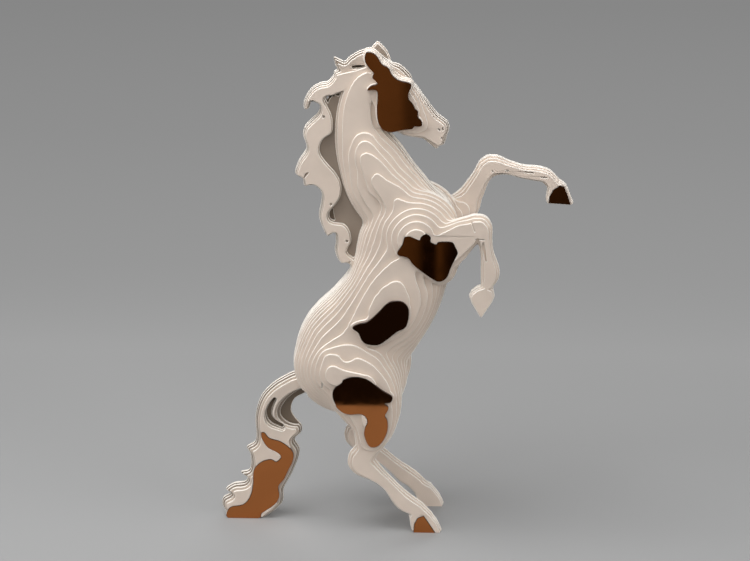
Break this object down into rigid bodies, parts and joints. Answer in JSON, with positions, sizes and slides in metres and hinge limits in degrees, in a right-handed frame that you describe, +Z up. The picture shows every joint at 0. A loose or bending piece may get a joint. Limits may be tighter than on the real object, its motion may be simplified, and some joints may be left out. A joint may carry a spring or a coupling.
{
  "type": "rearing horse sculpture",
  "caption": "Rearing horse built up from flat painted sheets, with bronze mirror plates as its dark patches; it stands on its hind hooves and tail.",
  "frame": {"origin": "on the ground, under the middle of the horse's length and width", "axes": "+X forward, the way the horse faces; +Y to its left, through the sheets; +Z up"},
  "size_m": [0.4276, 0.1156, 0.6],
  "materials": {
    "painted_board": "matte cream paint on sheet board",
    "bronze_mirror": "polished bronze-tinted mirror"
  },
  "bodies": {
    "root": {"centre_sheet": "painted_board", "left_cheek_mirror_plate": "bronze_mirror", "left_flank_mirror_plate": "bronze_mirror", "left_fore_hoof_mirror_plate": "bronze_mirror", "left_haunch_mirror_plate": "bronze_mirror", "left_sheet_01": "painted_board", "left_sheet_02": "painted_board", "left_sheet_03": "painted_board", "left_sheet_04": "painted_board", "left_sheet_05": "painted_board", "left_sheet_05_head": "painted_board", "left_sheet_06": "painted_board", "left_sheet_07": "painted_board", "left_sheet_08": "painted_board", "left_sheet_09": "painted_board", "left_sheet_10": "painted_board", "left_sheet_11": "painted_board", "left_sheet_12": "painted_board", "left_sheet_12_flank": "painted_board", "left_sheet_12_foreleg": "painted_board", "left_sheet_13": "painted_board", "left_sheet_14": "painted_board", "left_shoulder_mirror_plate": "bronze_mirror", "right_cheek_mirror_plate": "bronze_mirror", "right_flank_mirror_plate": "bronze_mirror", "right_haunch_mirror_plate": "bronze_mirror", "right_hind_hoof_mirror_plate": "bronze_mirror", "right_sheet_01": "painted_board", "right_sheet_02": "painted_board", "right_sheet_03": "painted_board", "right_sheet_03_tail": "painted_board", "right_sheet_03_tail_end": "painted_board", "right_sheet_04": "painted_board", "right_sheet_05": "painted_board", "right_sheet_05_head": "painted_board", "right_sheet_06": "painted_board", "right_sheet_07": "painted_board", "right_sheet_08": "painted_board", "right_sheet_09": "painted_board", "right_sheet_10": "painted_board", "right_sheet_11": "painted_board", "right_sheet_12": "painted_board", "right_sheet_12_flank": "painted_board", "right_sheet_12_foreleg": "painted_board", "right_sheet_13": "painted_board", "right_sheet_14": "painted_board", "right_shoulder_mirror_plate": "bronze_mirror", "tail_mirror_plate": "bronze_mirror"}
  },
  "joints": []
}
